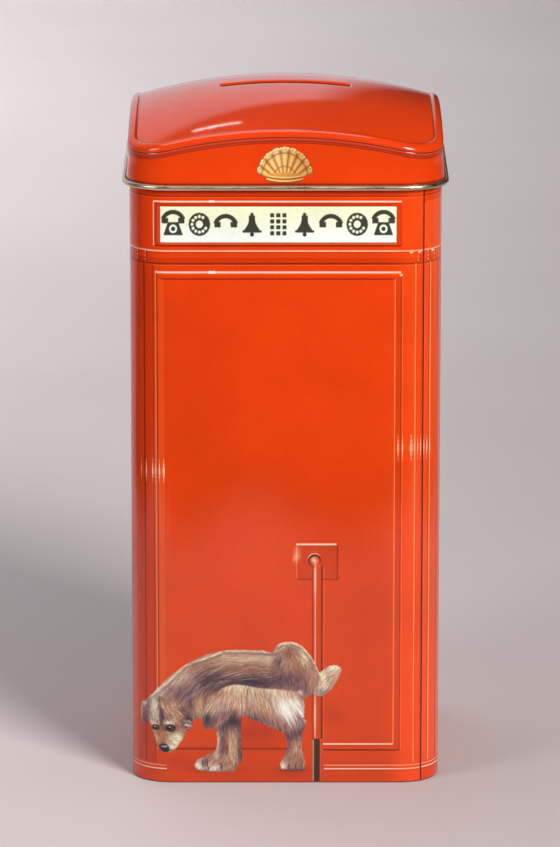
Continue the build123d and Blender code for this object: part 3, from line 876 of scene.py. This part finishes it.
def paint_head(area, rng):
    """The head over the neck: ear, crown, cheeks and muzzle."""
    fur_mass(
        area, rng,
        [(-33.2, 19.7), (-34.6, 20.2), (-35.9, 18.8), (-35.8, 16.2), (-35.4, 13.6), (-34.3, 14.6),
         (-33.2, 15.4), (-32.6, 18)],
        (150, 106, 108),
        [(-34.6, 19.6, 1.4, 0.6, CREAM_FUR, 0.8), (-35.7, 17, 0.4, 2.6, CREAM_FUR, 0.7),
         (-34.2, 15.8, 0.9, 1.2, VIOLET_FUR, 0.8)],
        [((-34.2, 19.6), (-34.9, 14.2))], 330, 1.5,
    )
    face = [((-31.4, 22), (-30.6, 15.5), (-29.8, 9.4)), ((-28.4, 21), (-26.4, 17.4), (-23.6, 15)),
            ((-27, 15), (-24.4, 12.8)), ((-27.6, 11.6), (-25.6, 11.4)),
            ((-32.6, 17), (-32.2, 12), (-30.8, 9))]
    fur_mass(
        area, rng,
        [(-33.4, 20.6), (-31.2, 21.8), (-28.4, 21), (-25.4, 19.8), (-23.4, 17.6), (-22.2, 15.2),
         (-22.6, 14), (-23.8, 13), (-24.4, 11.6), (-25.6, 9.6), (-27.4, 7.9), (-29.2, 7.6),
         (-30.6, 8.4), (-31.4, 10.4), (-32.3, 13.2), (-33.4, 15.4), (-33.8, 18)],
        BROWN_FUR,
        [(-31.8, 19, 1.2, 3.4, (206, 208, 200), 0.95), (-27.6, 18.6, 2.6, 2.2, TAN_FUR, 0.55),
         (-25.6, 16.4, 1.6, 1.6, (178, 128, 96), 0.7), (-23.4, 15.4, 1.2, 2, DEEP_FUR, 1),
         (-24.8, 18.4, 1, 1, VIOLET_FUR, 0.8), (-29.7, 16.4, 0.6, 2.2, DEEP_FUR, 0.85),
         (-28.2, 15.2, 1.3, 0.6, PALE_FUR, 0.95), (-32.2, 15, 0.8, 0.6, PALE_FUR, 0.9),
         (-29.8, 12.2, 1.2, 2, (190, 128, 88), 0.85), (-29.6, 10.4, 0.6, 0.9, BROWN_FUR, 0.6),
         (-26.5, 11.2, 1.9, 1.9, (240, 232, 198), 0.95), (-27.5, 9.1, 1.4, 0.9, PALE_FUR, 0.85),
         (-31.4, 11.4, 0.6, 1.8, (212, 178, 136), 0.85), (-25.4, 13.4, 1.6, 0.7, TAN_FUR, 0.6),
         (-30.4, 18.8, 0.5, 2.2, (140, 112, 100), 0.6)],
        face, 2100, 1.2,
    )
    crown_roots = np.stack([rng.uniform(-32.8, -25, 70), rng.uniform(16, 21, 70)], 1)
    brush(area, rng, crown_roots, face, 1.8, (226, 214, 190), 0.6, curl=0.2)
    whisker_roots = np.stack([rng.uniform(-24.6, -23, 20), rng.uniform(13.2, 16.6, 20)], 1)
    whiskers = [((-24, 17), (-21.9, 14.4)), ((-25, 13), (-22.8, 13.4))]
    brush(area, rng, whisker_roots, whiskers, 1.9, PALE_FUR, 0.6, curl=0.2)


def paint_toes(area):
    for toe in ([(-20, 5.6), (-19.9, 4.4)], [(-18.9, 5.9), (-18.8, 4.3), (-18.4, 3.4)],
                [(-15.6, 4.8), (-15.3, 3.4)], [(0.8, 4.6), (0.9, 3.5)], [(2.4, 4.6), (2.5, 3.5)]):
        area.line(toe, 0.24, (62, 44, 50), 0.75)
    area.line([(-21.5, 3.5), (-20, 3), (-17, 2.8), (-13.6, 3)], 0.3, (90, 66, 70), 0.5)
    area.line([(-1, 3.4), (1.6, 3.1), (4.4, 3.3)], 0.3, (60, 40, 44), 0.6)


def paint_face(area):
    """The eyes and the nose."""
    area.line([(-30, 18.6), (-29.7, 15.8), (-29.9, 14.4)], 0.4, (74, 50, 52), 0.7)
    for a, z, size in ((-27.7, 13.8, 1.05), (-31.4, 13.8, 0.8)):
        brow = [(a - size, z + 1.1 * size), (a + 0.9 * size, z + 1.15 * size)]
        lid = [(a - 0.9 * size, z - 0.95 * size), (a, z - 1.1 * size)]
        area.spot(a, z, 1.2 * size, 0.95 * size, (88, 58, 46), 0.9)
        area.line(brow, 0.26, PALE_FUR, 0.5)
        area.line(lid, 0.22, PALE_FUR, 0.5)
        for _ in range(3):
            area.spot(a, z, 0.8 * size, 0.62 * size, (18, 12, 16), 1)
        area.spot(a + 0.38 * size, z - 0.05, 0.2 * size, 0.24 * size, (170, 128, 74), 0.8)
        area.spot(a - 0.12 * size, z + 0.26 * size, 0.19, 0.16, WHITE, 1)
    nose = inside(area, [(-30.4, 9.4), (-29.2, 9.9), (-28.1, 9.2), (-28.1, 8.2), (-28.9, 7.7),
                         (-30.1, 8.3)])
    area.lay((26, 20, 26), blurred(nose, 1))
    area.spot(-29, 9.15, 0.7, 0.24, (214, 206, 186), 0.9)
    area.spot(-29.8, 9.1, 0.26, 0.22, (150, 146, 100), 0.8)
    area.line([(-28.6, 8), (-27.4, 8.4)], 0.2, (40, 26, 30), 0.7)


def print_dog(name):
    """A shaggy dog with one hind leg raised, its head low."""
    pitch = 0.14
    area = Print(np.arange(-37.4, 15, pitch), np.arange(1.8, 36.6, pitch), VIOLET_FUR)
    rng = np.random.default_rng(11)
    paint_legs(area, rng)
    paint_back(area, rng)
    long_roots, swept = paint_thigh(area, rng)
    paint_head(area, rng)
    # the longest pale hairs, along the back and the neck
    back = [((-2, 32), (-12, 32.2), (-20, 29.6), (-27, 23.6)), ((-20, 25), (-25, 20))]
    roots = np.stack([rng.uniform(-24, -2, 110), np.zeros(110)], 1)
    roots[:, 1] = 32.4 - 0.018 * (roots[:, 0] + 7) ** 2 - rng.uniform(0, 6.5, 110)
    tone = rng.uniform(0.8, 1.05, (110, 1)) * np.array([214, 192, 164])
    brush(area, rng, roots, back, 4.2, np.clip(tone, 0, 250), 0.6, curl=0.15)
    # fur is darker in its depths
    area.rgb = 255 * (area.rgb / 255) ** 1.28
    area.rgb += 0.12 * (area.rgb.mean(-1, keepdims=True) - area.rgb)
    brush(area, rng, long_roots, swept, 5, (238, 240, 236), 0.75, curl=0.15)
    area.spot(0.2, 19.6, 1.3, 1.7, (226, 234, 236), 0.45)
    area.line([(-14.1, 15), (-14, 11), (-13.8, 7.4)], 0.5, (70, 48, 54), 0.4)
    paint_toes(area)
    paint_face(area)
    return patch(name, area, least=0.42)


def print_cable_hole(name):
    """The grommet in the cable plate, where the cable bends out of the wall."""
    middle_a, middle_z = 7.0, 55.5
    across = np.arange(middle_a - 2.4, middle_a + 2.41, 0.1)
    up = np.arange(middle_z - 2.4, middle_z + 2.41, 0.1)
    area = Print(across, up, (208, 60, 8))
    reach = np.hypot(area.A - middle_a, (area.Z - middle_z) * 0.95)
    angle = np.arctan2(area.Z - middle_z, area.A - middle_a)
    toward = np.cos(angle - radians(105))
    lit = smooth(0.4, 0.0, np.abs(reach - 1.75)) * smooth(0.25, 0.9, toward)
    shaded = smooth(0.42, 0.1, np.abs(reach - 1.35)) * (0.45 + 0.5 * smooth(-0.6, 0.8, toward))
    area.lay((255, 186, 150), lit)
    area.lay((70, 22, 30), shaded)
    area.lay((214, 92, 58), smooth(1.15, 0.9, reach))
    area.spot(middle_a - 0.25, middle_z + 0.15, 0.55, 0.6, (255, 206, 190), 0.85)
    area.spot(middle_a - 0.75, middle_z - 0.4, 0.3, 0.4, (120, 44, 30), 0.8)
    cable = smooth(0.1, -0.1, area.A - 8.55) * smooth(-0.1, 0.1, area.A - 6.75)
    area.lay(RED, cable * (area.Z < middle_z - 0.6))
    stripe = smooth(0.3, 0.1, np.abs(area.A - 7.15)) * (area.Z < middle_z)
    area.lay((244, 150, 130), stripe * 0.9)
    area.cover = smooth(1.95, 1.85, reach)
    return patch(name, area)


# ---------------------------------------------------------------- the lid

def lid_rings():
    """The lid's shell as rings from the inside of its wall, over the inside, and back outside.

    Each ring is (plan points, heights, colour), and the list closes on itself.
    """
    corner_steps, flat_steps = 22, 44
    turns = np.linspace(0, CORNER * pi / 2, corner_steps, endpoint=False)
    flats = np.linspace(-FLAT, FLAT, flat_steps, endpoint=False)
    one_side = np.concatenate([flats, FLAT + turns])
    across = np.concatenate([one_side + PITCH * side for side in range(4)])
    rings = []

    def add(outset, z, ink=RED):
        rings.append((on_body(across, outset), z, ink))

    def follow(outset, rise, ink=RED, radius=DOME_RADIUS):
        points = on_body(across, outset)
        rings.append((points, sphere_z(points, radius) + rise, ink))

    def between(share, slot_outset, outset, rise, radius=DOME_RADIUS, ink=RED):
        """A ring part of the way from the coin slot to the rim."""
        half_length, half_width, slot_radius = SLOT
        near = plan_ring(
            across, half_length + slot_outset, half_width + slot_outset, slot_radius + slot_outset
        )
        points = near + (on_body(across, outset) - near) * share
        rings.append((points, sphere_z(points, radius) + rise, ink))

    inner_radius = DOME_RADIUS - SHEET
    dome_steps = 40
    # inside, from the roll up and in to the slot
    add(LID_INNER_OUTSET + FLARE, WALL_END)
    for k in range(9):
        z = WALL_END + (FLARE_TOP - WALL_END) * (k + 1) / 9
        add(float(skirt_outset(z)) - SHEET, z)
    edge = sphere_z(on_body(across, LID_OUTSET)) + RIM_RISE
    for drop in (2.2, 1.5, 1.1):
        add(LID_INNER_OUTSET, edge - drop)
    for k in range(1, 6):
        turn = pi / 2 * k / 6
        add(LID_INNER_OUTSET - 0.85 * (1 - cos(turn)), edge - 1.1 + 0.85 * sin(turn))
    follow(-0.8, RIM_RISE, radius=inner_radius)
    follow(RIM_INNER + 0.15, RIM_RISE, radius=inner_radius)
    for k in range(dome_steps, -1, -1):
        between(k / dome_steps, SHEET, RIM_INNER - 0.1, 0.0, inner_radius)
    inside_count = len(rings)
    # the slot's turned-down edge. The dark red is painted shade, here down the slot's wall and later
    # in the rim's grooves
    groove_shade = (116, 30, 12)
    between(0, SHEET, RIM_INNER, -SLOT_DEPTH, ink=groove_shade)
    between(0, 0.0, RIM_INNER, -SLOT_DEPTH, ink=groove_shade)
    between(0, 0.0, RIM_INNER, -0.6, ink=groove_shade)
    between(0, 0.0, RIM_INNER, -0.4)
    for k in range(1, 5):
        turn = pi / 2 * k / 4
        between(0, SLOT_ROUND * (1 - cos(turn)), RIM_INNER, -SLOT_ROUND * (1 - sin(turn)))
    for k in range(1, dome_steps + 1):
        between(k / dome_steps, SLOT_ROUND, RIM_INNER - 0.8, 0.0)
    # rim: a step up, a rounded bead, and two fine mouldings under it, with painted shade at the foot
    # of the step and in and beside the grooves
    shade, mould = (158, 42, 14), (190, 54, 22)
    for outset, rise, ink in (
        (-2.3, 0.0, RED), (-2.1, 0.0, RED), (-1.95, 0.0, shade), (-1.66, 0.02, shade),
        (-1.56, 0.11, shade), (-1.42, 0.21, mould), (-1.2, 0.28, RED),
        (-1.0, 0.31, RED), (-0.7, 0.31, RED), (-0.4, 0.25, RED), (-0.12, 0.14, RED),
        (0.12, -0.05, RED), (0.28, -0.28, RED), (0.37, -0.52, RED), (0.39, -0.72, RED),
        (0.36, -0.86, RED), (0.31, -0.96, shade), (0.25, -1.05, groove_shade), (0.25, -1.14, groove_shade),
        (0.31, -1.24, mould), (0.35, -1.38, (214, 70, 28)), (0.35, -1.60, mould),
        (0.33, -1.74, shade), (0.27, -1.83, groove_shade), (0.27, -1.93, shade), (0.31, -2.03, mould),
        (0.32, -2.16, mould), (0.28, -2.28, shade), (0.28, -2.42, shade),
        (0.30, -2.58, RED), (0.30, -2.9, RED),
    ):
        follow(outset, rise, ink)
    top = sphere_z(on_body(across, LID_OUTSET)) - 2.9
    for k in range(1, 13):
        share = k / 12
        add(LID_OUTSET, top + (FLARE_TOP - top) * share)
    for k in range(1, 15):
        z = FLARE_TOP - (FLARE_TOP - WALL_END) * k / 14
        add(float(skirt_outset(z)), z, RED if k < 12 else BROWN_RED)
    return rings, inside_count


def make_lid(lacquer, tin):
    rings, inside_count = lid_rings()
    count = len(rings[0][0])
    points, colours = [], []
    for plan, z, ink in rings:
        heights = np.broadcast_to(np.asarray(z, float), (count,))
        points.append(np.concatenate([plan, heights[:, None]], 1))
        colours.append(np.tile(np.array(ink, float), (count, 1)))
    points, colours = np.concatenate(points), np.concatenate(colours)
    faces = grid_faces(len(rings), count, wrap=True)
    last = (len(rings) - 1) * count + np.arange(count)
    first = np.arange(count)
    closing = np.stack([last, np.roll(last, -1), np.roll(first, -1), first], 1)
    piece = build("lid_shell", points, np.concatenate([faces, closing]), colours)
    piece.data.materials.append(lacquer)
    piece.data.materials.append(tin)
    bands = np.zeros(len(piece.data.polygons), int)
    bands[: (inside_count + 1) * count] = 1
    bands[-count:] = 1
    piece.data.polygons.foreach_set("material_index", bands)
    return piece


def make_curl(tin):
    """The lid's rolled edge of bare tinplate, as a hollow roll."""
    across = np.arange(0, 4 * PITCH, PITCH / 66)
    turns = [radians(180 + CURL_TURN * k / 26) for k in range(27)]
    section = [(CURL_RADIUS * cos(t), CURL_RADIUS * sin(t)) for t in turns]
    inner_radius = CURL_RADIUS - SHEET
    section += [(inner_radius * cos(t), inner_radius * sin(t)) for t in reversed(turns)]
    out, up = CURL_CENTRE
    rows = [
        np.concatenate([on_body(across, out + dx), np.full((len(across), 1), up + dz)], 1)
        for dx, dz in section
    ]
    # the section closes on itself, so the last row of faces runs to the first points again
    faces = grid_faces(len(rows) + 1, len(across), wrap=True) % (len(rows) * len(across))
    piece = build("lid_rolled_edge", np.concatenate(rows), faces)
    piece.data.materials.append(tin)
    return piece


# ---------------------------------------------------------------- materials

class Nodes:
    """Short ways to add nodes to a tree and join them."""

    def __init__(self, tree):
        self.tree = tree

    def add(self, kind, **settings):
        node = self.tree.nodes.new(kind)
        for key, value in settings.items():
            setattr(node, key, value)
        return node

    def join(self, value, socket):
        """Feeds a socket from an output, or sets it to a plain value."""
        if isinstance(value, bpy.types.NodeSocket):
            self.tree.links.new(value, socket)
        else:
            socket.default_value = value

    def math(self, operation, *values, kind="ShaderNodeMath"):
        node = self.add(kind, operation=operation)
        for index, value in enumerate(values):
            self.join(value, node.inputs[index])
        return node.outputs[0]

    def vector(self, operation, *values):
        return self.math(operation, *values, kind="ShaderNodeVectorMath")

    def length(self, vector):
        node = self.add("ShaderNodeVectorMath", operation="LENGTH")
        self.join(vector, node.inputs[0])
        return node.outputs["Value"]

    def split(self, vector):
        """The X, Y and Z of a vector."""
        node = self.add("ShaderNodeSeparateXYZ")
        self.join(vector, node.inputs[0])
        return tuple(node.outputs)

    def spread(self, value, low, high, from_low=0.3, from_high=0.7):
        """The value moved from one range to another."""
        node = self.add("ShaderNodeMapRange")
        self.join(value, node.inputs["Value"])
        for key, number in (
            ("From Min", from_low), ("From Max", from_high), ("To Min", low), ("To Max", high),
        ):
            node.inputs[key].default_value = number
        return node.outputs["Result"]

    def mix(self, factor, first, second, blend="MIX"):
        """A mixed colour. A colour or number may be given in place of an output."""
        node = self.add("ShaderNodeMix", data_type="RGBA", blend_type=blend)
        for index, value in ((0, factor), (6, first), (7, second)):
            self.join((*value, 1) if isinstance(value, tuple) else value, node.inputs[index])
        return node.outputs[2]

    def blend(self, factor, first, second):
        """A mixed shader."""
        node = self.add("ShaderNodeMixShader")
        for index, value in enumerate((factor, first, second)):
            self.join(value, node.inputs[index])
        return node.outputs[0]


class Surface(Nodes):
    """A new material's node tree, with its Principled shader."""

    def __init__(self, name):
        self.material = bpy.data.materials.new(name)
        self.material.use_nodes = True
        super().__init__(self.material.node_tree)
        self.shader = self.tree.nodes["Principled BSDF"]
        self.coordinates = self.add("ShaderNodeTexCoord").outputs["Object"]

    def noise(self, scale, detail=3.0, stretch=None):
        """Noise from 0 to 1, with `scale` cells to the metre."""
        texture = self.add("ShaderNodeTexNoise")
        texture.inputs["Scale"].default_value = scale
        texture.inputs["Detail"].default_value = detail
        source = self.coordinates
        if stretch is not None:
            mapping = self.add("ShaderNodeMapping")
            mapping.inputs["Scale"].default_value = stretch
            self.join(source, mapping.inputs["Vector"])
            source = mapping.outputs["Vector"]
        self.join(source, texture.inputs["Vector"])
        return texture.outputs["Fac"]

    def bump(self, height, strength, distance):
        node = self.add("ShaderNodeBump")
        node.inputs["Strength"].default_value = strength
        node.inputs["Distance"].default_value = distance
        self.join(height, node.inputs["Height"])
        return node.outputs["Normal"]

    def set(self, **values):
        """Feeds the shader's sockets, whose names are given with _ for a space."""
        for key, value in values.items():
            self.join(value, self.shader.inputs[key.replace("_", " ")])


def printed_lacquer(name):
    """Glossy varnish over printed ink, with a faint mottle and the sheet's slight waves."""
    nodes = Surface(name)
    colour = nodes.add("ShaderNodeAttribute", attribute_name="Print").outputs["Color"]
    broad = nodes.spread(nodes.noise(38, 4), 0.90, 1.08)
    grain = nodes.spread(nodes.noise(2600, 2), 0.955, 1.045)
    tone = nodes.math("MULTIPLY", broad, grain)
    waves = nodes.math("MULTIPLY_ADD", nodes.noise(900, 2), 0.12, nodes.noise(45, 2))
    nodes.set(
        Base_Color=nodes.mix(1.0, colour, tone, "MULTIPLY"),
        Roughness=nodes.spread(nodes.noise(240, 3), 0.34, 0.46),
        Normal=nodes.bump(waves, 0.35, 0.00012),
        Coat_Normal=nodes.bump(waves, 0.35, 0.00012),
        Coat_Weight=1.0, Coat_Roughness=0.06, Specular_IOR_Level=0.05,
    )
    return nodes.material


def tinplate(name, dark=(0.30, 0.27, 0.21), light=(0.56, 0.53, 0.44), stretch=(0.06, 1.0, 1.0)):
    """Bare tinplate: rolling marks, a dull patchy bloom and a few darker specks."""
    nodes = Surface(name)
    rolling = nodes.noise(900, 4, stretch)
    colour = nodes.mix(nodes.spread(nodes.noise(70, 4), 0, 1), dark, light)
    streaks = nodes.mix(nodes.spread(rolling, 0, 0.35), colour, (0.72, 0.70, 0.62))
    specks = nodes.spread(nodes.noise(1500, 1), 0, 0.5, 0.78, 0.88)
    nodes.set(
        Base_Color=nodes.mix(specks, streaks, (0.16, 0.13, 0.09)),
        Roughness=nodes.spread(rolling, 0.24, 0.44),
        Normal=nodes.bump(rolling, 0.2, 0.00003),
        Metallic=1.0,
    )
    return nodes.material


def wall_material(name):
    """The CAD wall: red outside, dark in the seam's line, bare tinplate inside."""
    nodes = Surface(name)
    past_flat = nodes.vector(
        "SUBTRACT", nodes.vector("ABSOLUTE", nodes.coordinates), (FLAT * MM, FLAT * MM, 1)
    )
    outward = nodes.length(nodes.vector("MAXIMUM", past_flat, (0, 0, 0)))
    outside = nodes.spread(outward, 0, 1, (CORNER - 0.16) * MM, (CORNER - 0.14) * MM)
    face = nodes.spread(outward, 0, 1, (CORNER - 0.06) * MM, (CORNER - 0.03) * MM)
    rolling = nodes.noise(900, 4, (1.0, 1.0, 0.06))
    metal = nodes.mix(nodes.spread(rolling, 0, 1), (0.44, 0.42, 0.36), (0.66, 0.64, 0.58))
    broad = nodes.spread(nodes.noise(38, 4), 0, 1)
    lacquer = nodes.mix(broad, (0.50, 0.022, 0.006), (0.68, 0.032, 0.006))
    painted = nodes.mix(face, (0.06, 0.012, 0.008), lacquer)
    nodes.set(
        Base_Color=nodes.mix(outside, metal, painted),
        Metallic=nodes.math("SUBTRACT", 1.0, outside),
        Roughness=nodes.spread(rolling, 0.26, 0.42),
        Normal=nodes.bump(rolling, 0.15, 0.00003),
    )
    return nodes.material


HEM_WAVE = 0.05  # metres from one crest of the floor's waving hem to the next


def floor_material():
    """Pale cloth-coloured ground. What mirrors it sees it end in a soft hem, as a room would."""
    nodes = Surface("studio_floor")
    x, y, _ = nodes.split(nodes.coordinates)
    cloth = nodes.mix(
        nodes.spread(nodes.noise(6, 3), 0, 1), (0.535, 0.485, 0.495), (0.57, 0.52, 0.53)
    )
    # painted light: the ground a little lighter on the left, as though more light fell there
    painted_light_slope = nodes.spread(x, 1.26, 0.90, -0.13, 0.13)
    nodes.set(
        Base_Color=nodes.mix(1.0, cloth, painted_light_slope, "MULTIPLY"), Roughness=0.9, Specular_IOR_Level=0.1
    )
    # dark in mirrors past the hem, in front of the object and beside it
    wave = nodes.math("SINE", nodes.math("MULTIPLY_ADD", x, 2 * pi / HEM_WAVE, 2.6))
    forward = nodes.math("MULTIPLY_ADD", wave, -0.022, nodes.math("MULTIPLY", y, -1))
    reach = nodes.math("MAXIMUM", forward, nodes.math("ABSOLUTE", x))
    far = nodes.spread(reach, 0, 1, 0.25, 0.32)
    beyond = nodes.math("MULTIPLY", far, nodes.spread(y, 1, 0, 0.1, 0.22))
    glossy = nodes.add("ShaderNodeLightPath").outputs["Is Glossy Ray"]
    dark = nodes.add("ShaderNodeBsdfDiffuse")
    dark.inputs["Color"].default_value = (0.012, 0.010, 0.009, 1)
    mirrored = nodes.math("MULTIPLY", glossy, beyond)
    ground = nodes.blend(mirrored, nodes.shader.outputs[0], dark.outputs[0])
    # the ground fades into the backdrop a metre and more from the object
    distance = nodes.length(nodes.vector("MULTIPLY", nodes.coordinates, (1, 1, 0)))
    clear = nodes.add("ShaderNodeBsdfTransparent").outputs[0]
    faded = nodes.blend(nodes.spread(distance, 0, 1, 0.95, 2.2), ground, clear)
    nodes.join(faded, nodes.tree.nodes["Material Output"].inputs["Surface"])
    return nodes.material


# ---------------------------------------------------------------- studio

def area_light(name, place, target, width, height, power, colour=(1, 1, 1), spread=180):
    light = bpy.data.lights.new(name, "AREA")
    light.shape = "RECTANGLE"
    light.size, light.size_y = width, height
    light.energy = power
    light.color = colour
    light.spread = radians(spread)
    lamp = bpy.data.objects.new(name, light)
    lamp.location = place
    lamp.rotation_euler = (Vector(target) - Vector(place)).to_track_quat("-Z", "Y").to_euler()
    bpy.context.scene.collection.objects.link(lamp)
    return lamp


def make_world():
    """A pale backdrop behind the object and a dim room before it, as the lacquer mirrors them."""
    world = bpy.data.worlds.new("studio")
    bpy.context.scene.world = world
    world.use_nodes = True
    nodes = Nodes(world.node_tree)
    x, y, z = nodes.split(nodes.add("ShaderNodeTexCoord").outputs["Generated"])
    below_edge = nodes.spread(nodes.math("MULTIPLY_ADD", x, 0.69, z), 1, 0, 0.445, 0.485)
    left = nodes.spread(x, 1, 0, 0.035, 0.085)
    behind = nodes.spread(y, 0, 1, 0.25, 0.6)
    backdrop = nodes.math("MULTIPLY", nodes.math("MULTIPLY", below_edge, left), behind)
    room = nodes.mix(backdrop, (0.022, 0.017, 0.014), (0.66, 0.60, 0.63))
    seen = nodes.add("ShaderNodeLightPath").outputs["Is Camera Ray"]
    colour = nodes.mix(seen, room, (0.64, 0.585, 0.595))
    nodes.join(colour, nodes.tree.nodes["Background"].inputs["Color"])


FLOOR_HALF = 6000  # millimetres


def make_studio():
    edge = (-FLOOR_HALF, FLOOR_HALF)
    corners = [(edge[i], edge[j], 0) for i, j in ((0, 0), (1, 0), (1, 1), (0, 1))]
    floor = build("floor", corners, [(0, 1, 2, 3)])
    floor.data.materials.append(floor_material())
    floor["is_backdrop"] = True
    make_world()
    middle = (0, 0, 0.09)
    area_light("key", (0.6, -0.95, 0.82), middle, 0.45, 0.45, 18.4, (1, 0.97, 0.92))
    area_light("fill", (-0.95, -0.75, 0.75), middle, 0.5, 0.6, 5.2, (0.95, 0.97, 1))
    area_light("overhead", (-0.15, 0.3, 1.7), (-0.15, 0.3, 0), 1.0, 0.8, 6)
    area_light("backdrop_light", (-0.45, 0.98, 1.2), (-0.45, 0.99, 0), 1.0, 0.8, 4.4, spread=84)
    area_light("window", (-0.146, 0.821, 0.842), (-0.0165, -0.0315, 0.16), 0.105, 0.011, 0.036)


LENS = 159.56  # millimetres, on a sensor 24 mm high
CAMERA_PLACE = (-0.0013, -1.337, 0.4089)
CAMERA_DIP = 13.81  # degrees below the horizontal


def make_camera():
    """A lens at the picture's viewing angle, 1.3 m before the front face, looking down on it."""
    data = bpy.data.cameras.new("camera")
    data.sensor_fit = "VERTICAL"
    data.sensor_height = 24.0
    data.lens = LENS
    data.clip_end = 50
    camera = bpy.data.objects.new("camera", data)
    camera.location = CAMERA_PLACE
    camera.rotation_euler = (radians(90 - CAMERA_DIP), 0, 0)
    bpy.context.scene.collection.objects.link(camera)
    bpy.context.scene.camera = camera


# ---------------------------------------------------------------- assembly

ROLLED_DARK, ROLLED_LIGHT = (0.62, 0.52, 0.34), (0.88, 0.75, 0.53)


def place(piece, body, slot, *materials):
    for material in materials:
        piece.data.materials.append(material)
    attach(piece, body)


def make_object():
    lacquer = printed_lacquer("printed_lacquer")
    bare = tinplate("tinplate")

    def place_print(piece):
        place(piece, "tin", "red_lacquered_tin", lacquer)

    seam_left, seam_right = SEAM - SEAM_LINE / 2, SEAM + SEAM_LINE / 2
    turn_over = -FLAT - CORNER * pi / 2 - 3  # where the two skins meet, on the left side
    place_print(skin("body_print_front", front_bars(), turn_over, seam_left, front_details_and_painted_light))
    place_print(
        skin("body_print_sides", side_bars(), seam_right, turn_over + 4 * PITCH, finish_sides)
    )
    place_print(print_dog("body_print_dog"))
    place_print(print_cable_hole("body_print_grommet"))
    spans = [(0, FRONT_LEFT, FRONT_RIGHT)]
    spans += [(k, k * PITCH - PANEL_HALF, k * PITCH + PANEL_HALF) for k in (1, 2, 3)]
    for side, left, right in spans:
        place_print(print_name_panel(f"body_print_panel_{side}", left, right))
        emblem = print_emblem(f"lid_emblem_{side}", side * PITCH - 0.2)
        place(emblem, "lid", "red_lacquered_lid", lacquer)
    lid = make_lid(printed_lacquer("lid_lacquer"), bare)
    place(lid, "lid", "red_lacquered_lid")
    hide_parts("lid")
    rolled = tinplate("rolled_edge_tin", ROLLED_DARK, ROLLED_LIGHT, (0.3, 0.3, 0.3))
    place(make_curl(rolled), "lid", "red_lacquered_lid")
    for node, material in (("body_wall", wall_material("wall")), ("base_panel", bare)):
        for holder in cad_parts[node].material_slots:
            holder.material = material


make_studio()
make_camera()
make_object()
bpy.context.scene.view_settings.view_transform = "Standard"

boxes = {"cad": CAD_BOX, "visual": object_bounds()}
{key: [list(corner) for corner in box] for key, box in boxes.items()}
